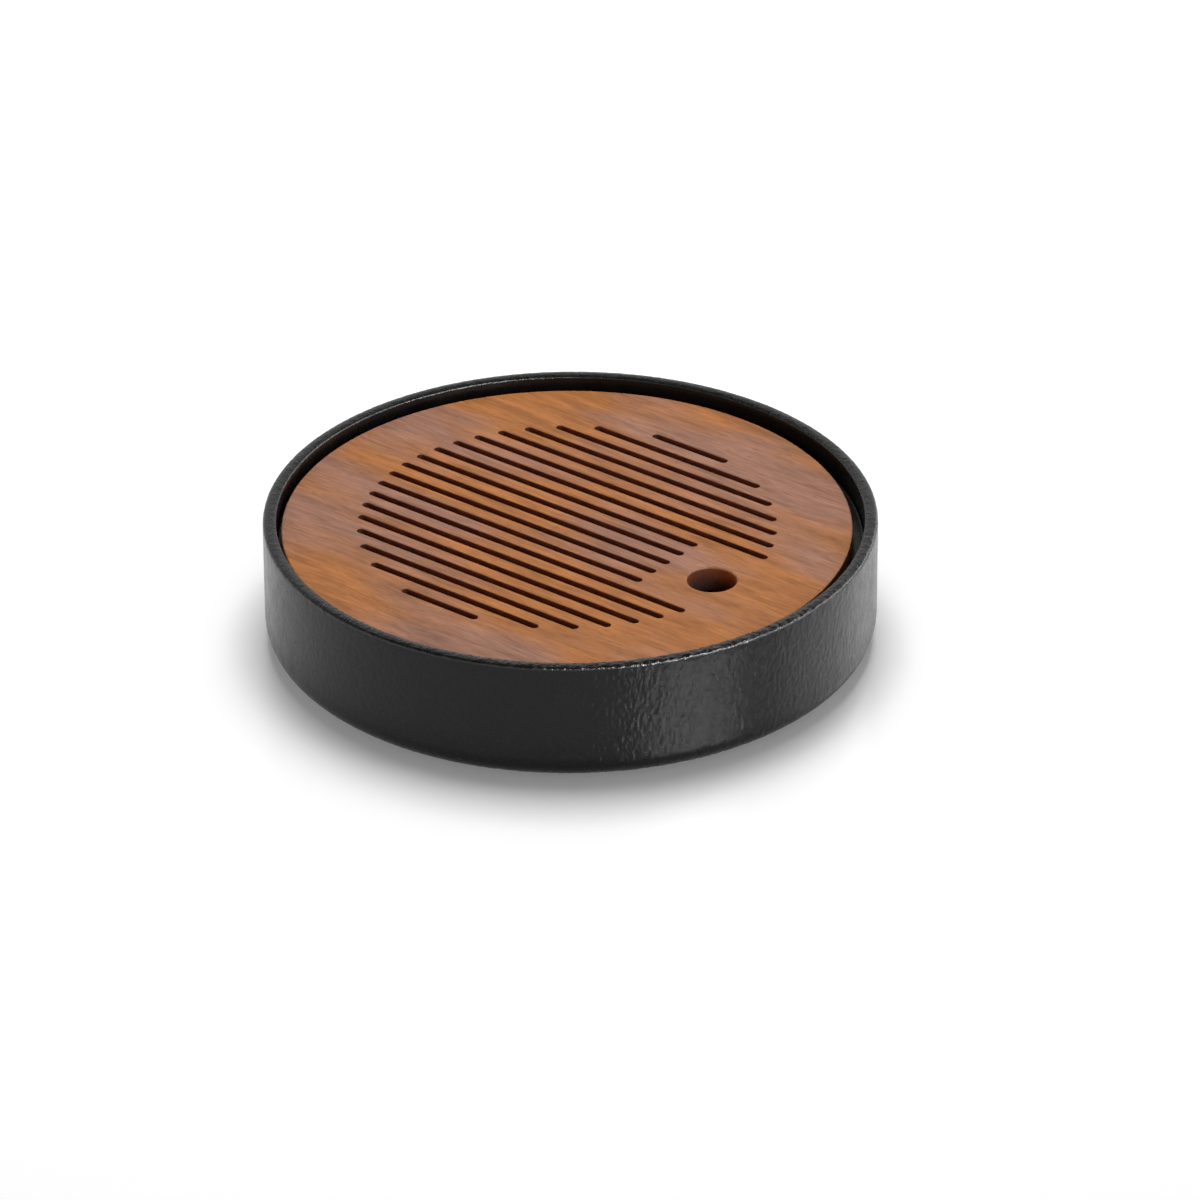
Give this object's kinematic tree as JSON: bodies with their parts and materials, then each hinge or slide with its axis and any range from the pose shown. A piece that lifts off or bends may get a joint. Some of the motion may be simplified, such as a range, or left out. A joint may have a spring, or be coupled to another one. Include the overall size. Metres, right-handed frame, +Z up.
{
  "type": "tea tray",
  "caption": "Round stoneware tea tray with a vertical wall and a slotted wooden board that rests on a ledge inside the rim and lifts off to empty the water reservoir below.",
  "frame": {"origin": "on the table under the middle of the basin, at the bottoms of the foot pads", "axes": "+Z up; +X along the slots, towards the finger hole"},
  "size_m": [0.26, 0.26, 0.0565],
  "materials": {
    "glaze": "black wrinkled glaze, satin",
    "board_wood": "oiled brown wood",
    "batten_wood": "oiled brown wood",
    "screw_steel": "plain stainless",
    "silicone": "matte black"
  },
  "bodies": {
    "basin": {"basin": "glaze", "foot_pad_front_left": "silicone", "foot_pad_front_right": "silicone", "foot_pad_back_left": "silicone", "foot_pad_back_right": "silicone"},
    "board": {"slotted_board": "board_wood", "batten_left": "batten_wood", "batten_right": "batten_wood", "batten_screws": "screw_steel"}
  },
  "joints": [
    {"name": "board_lift", "type": "slide", "parent": "basin", "child": "board", "axis": [0, 0, 1], "range_m": [0, 0.06]}
  ]
}
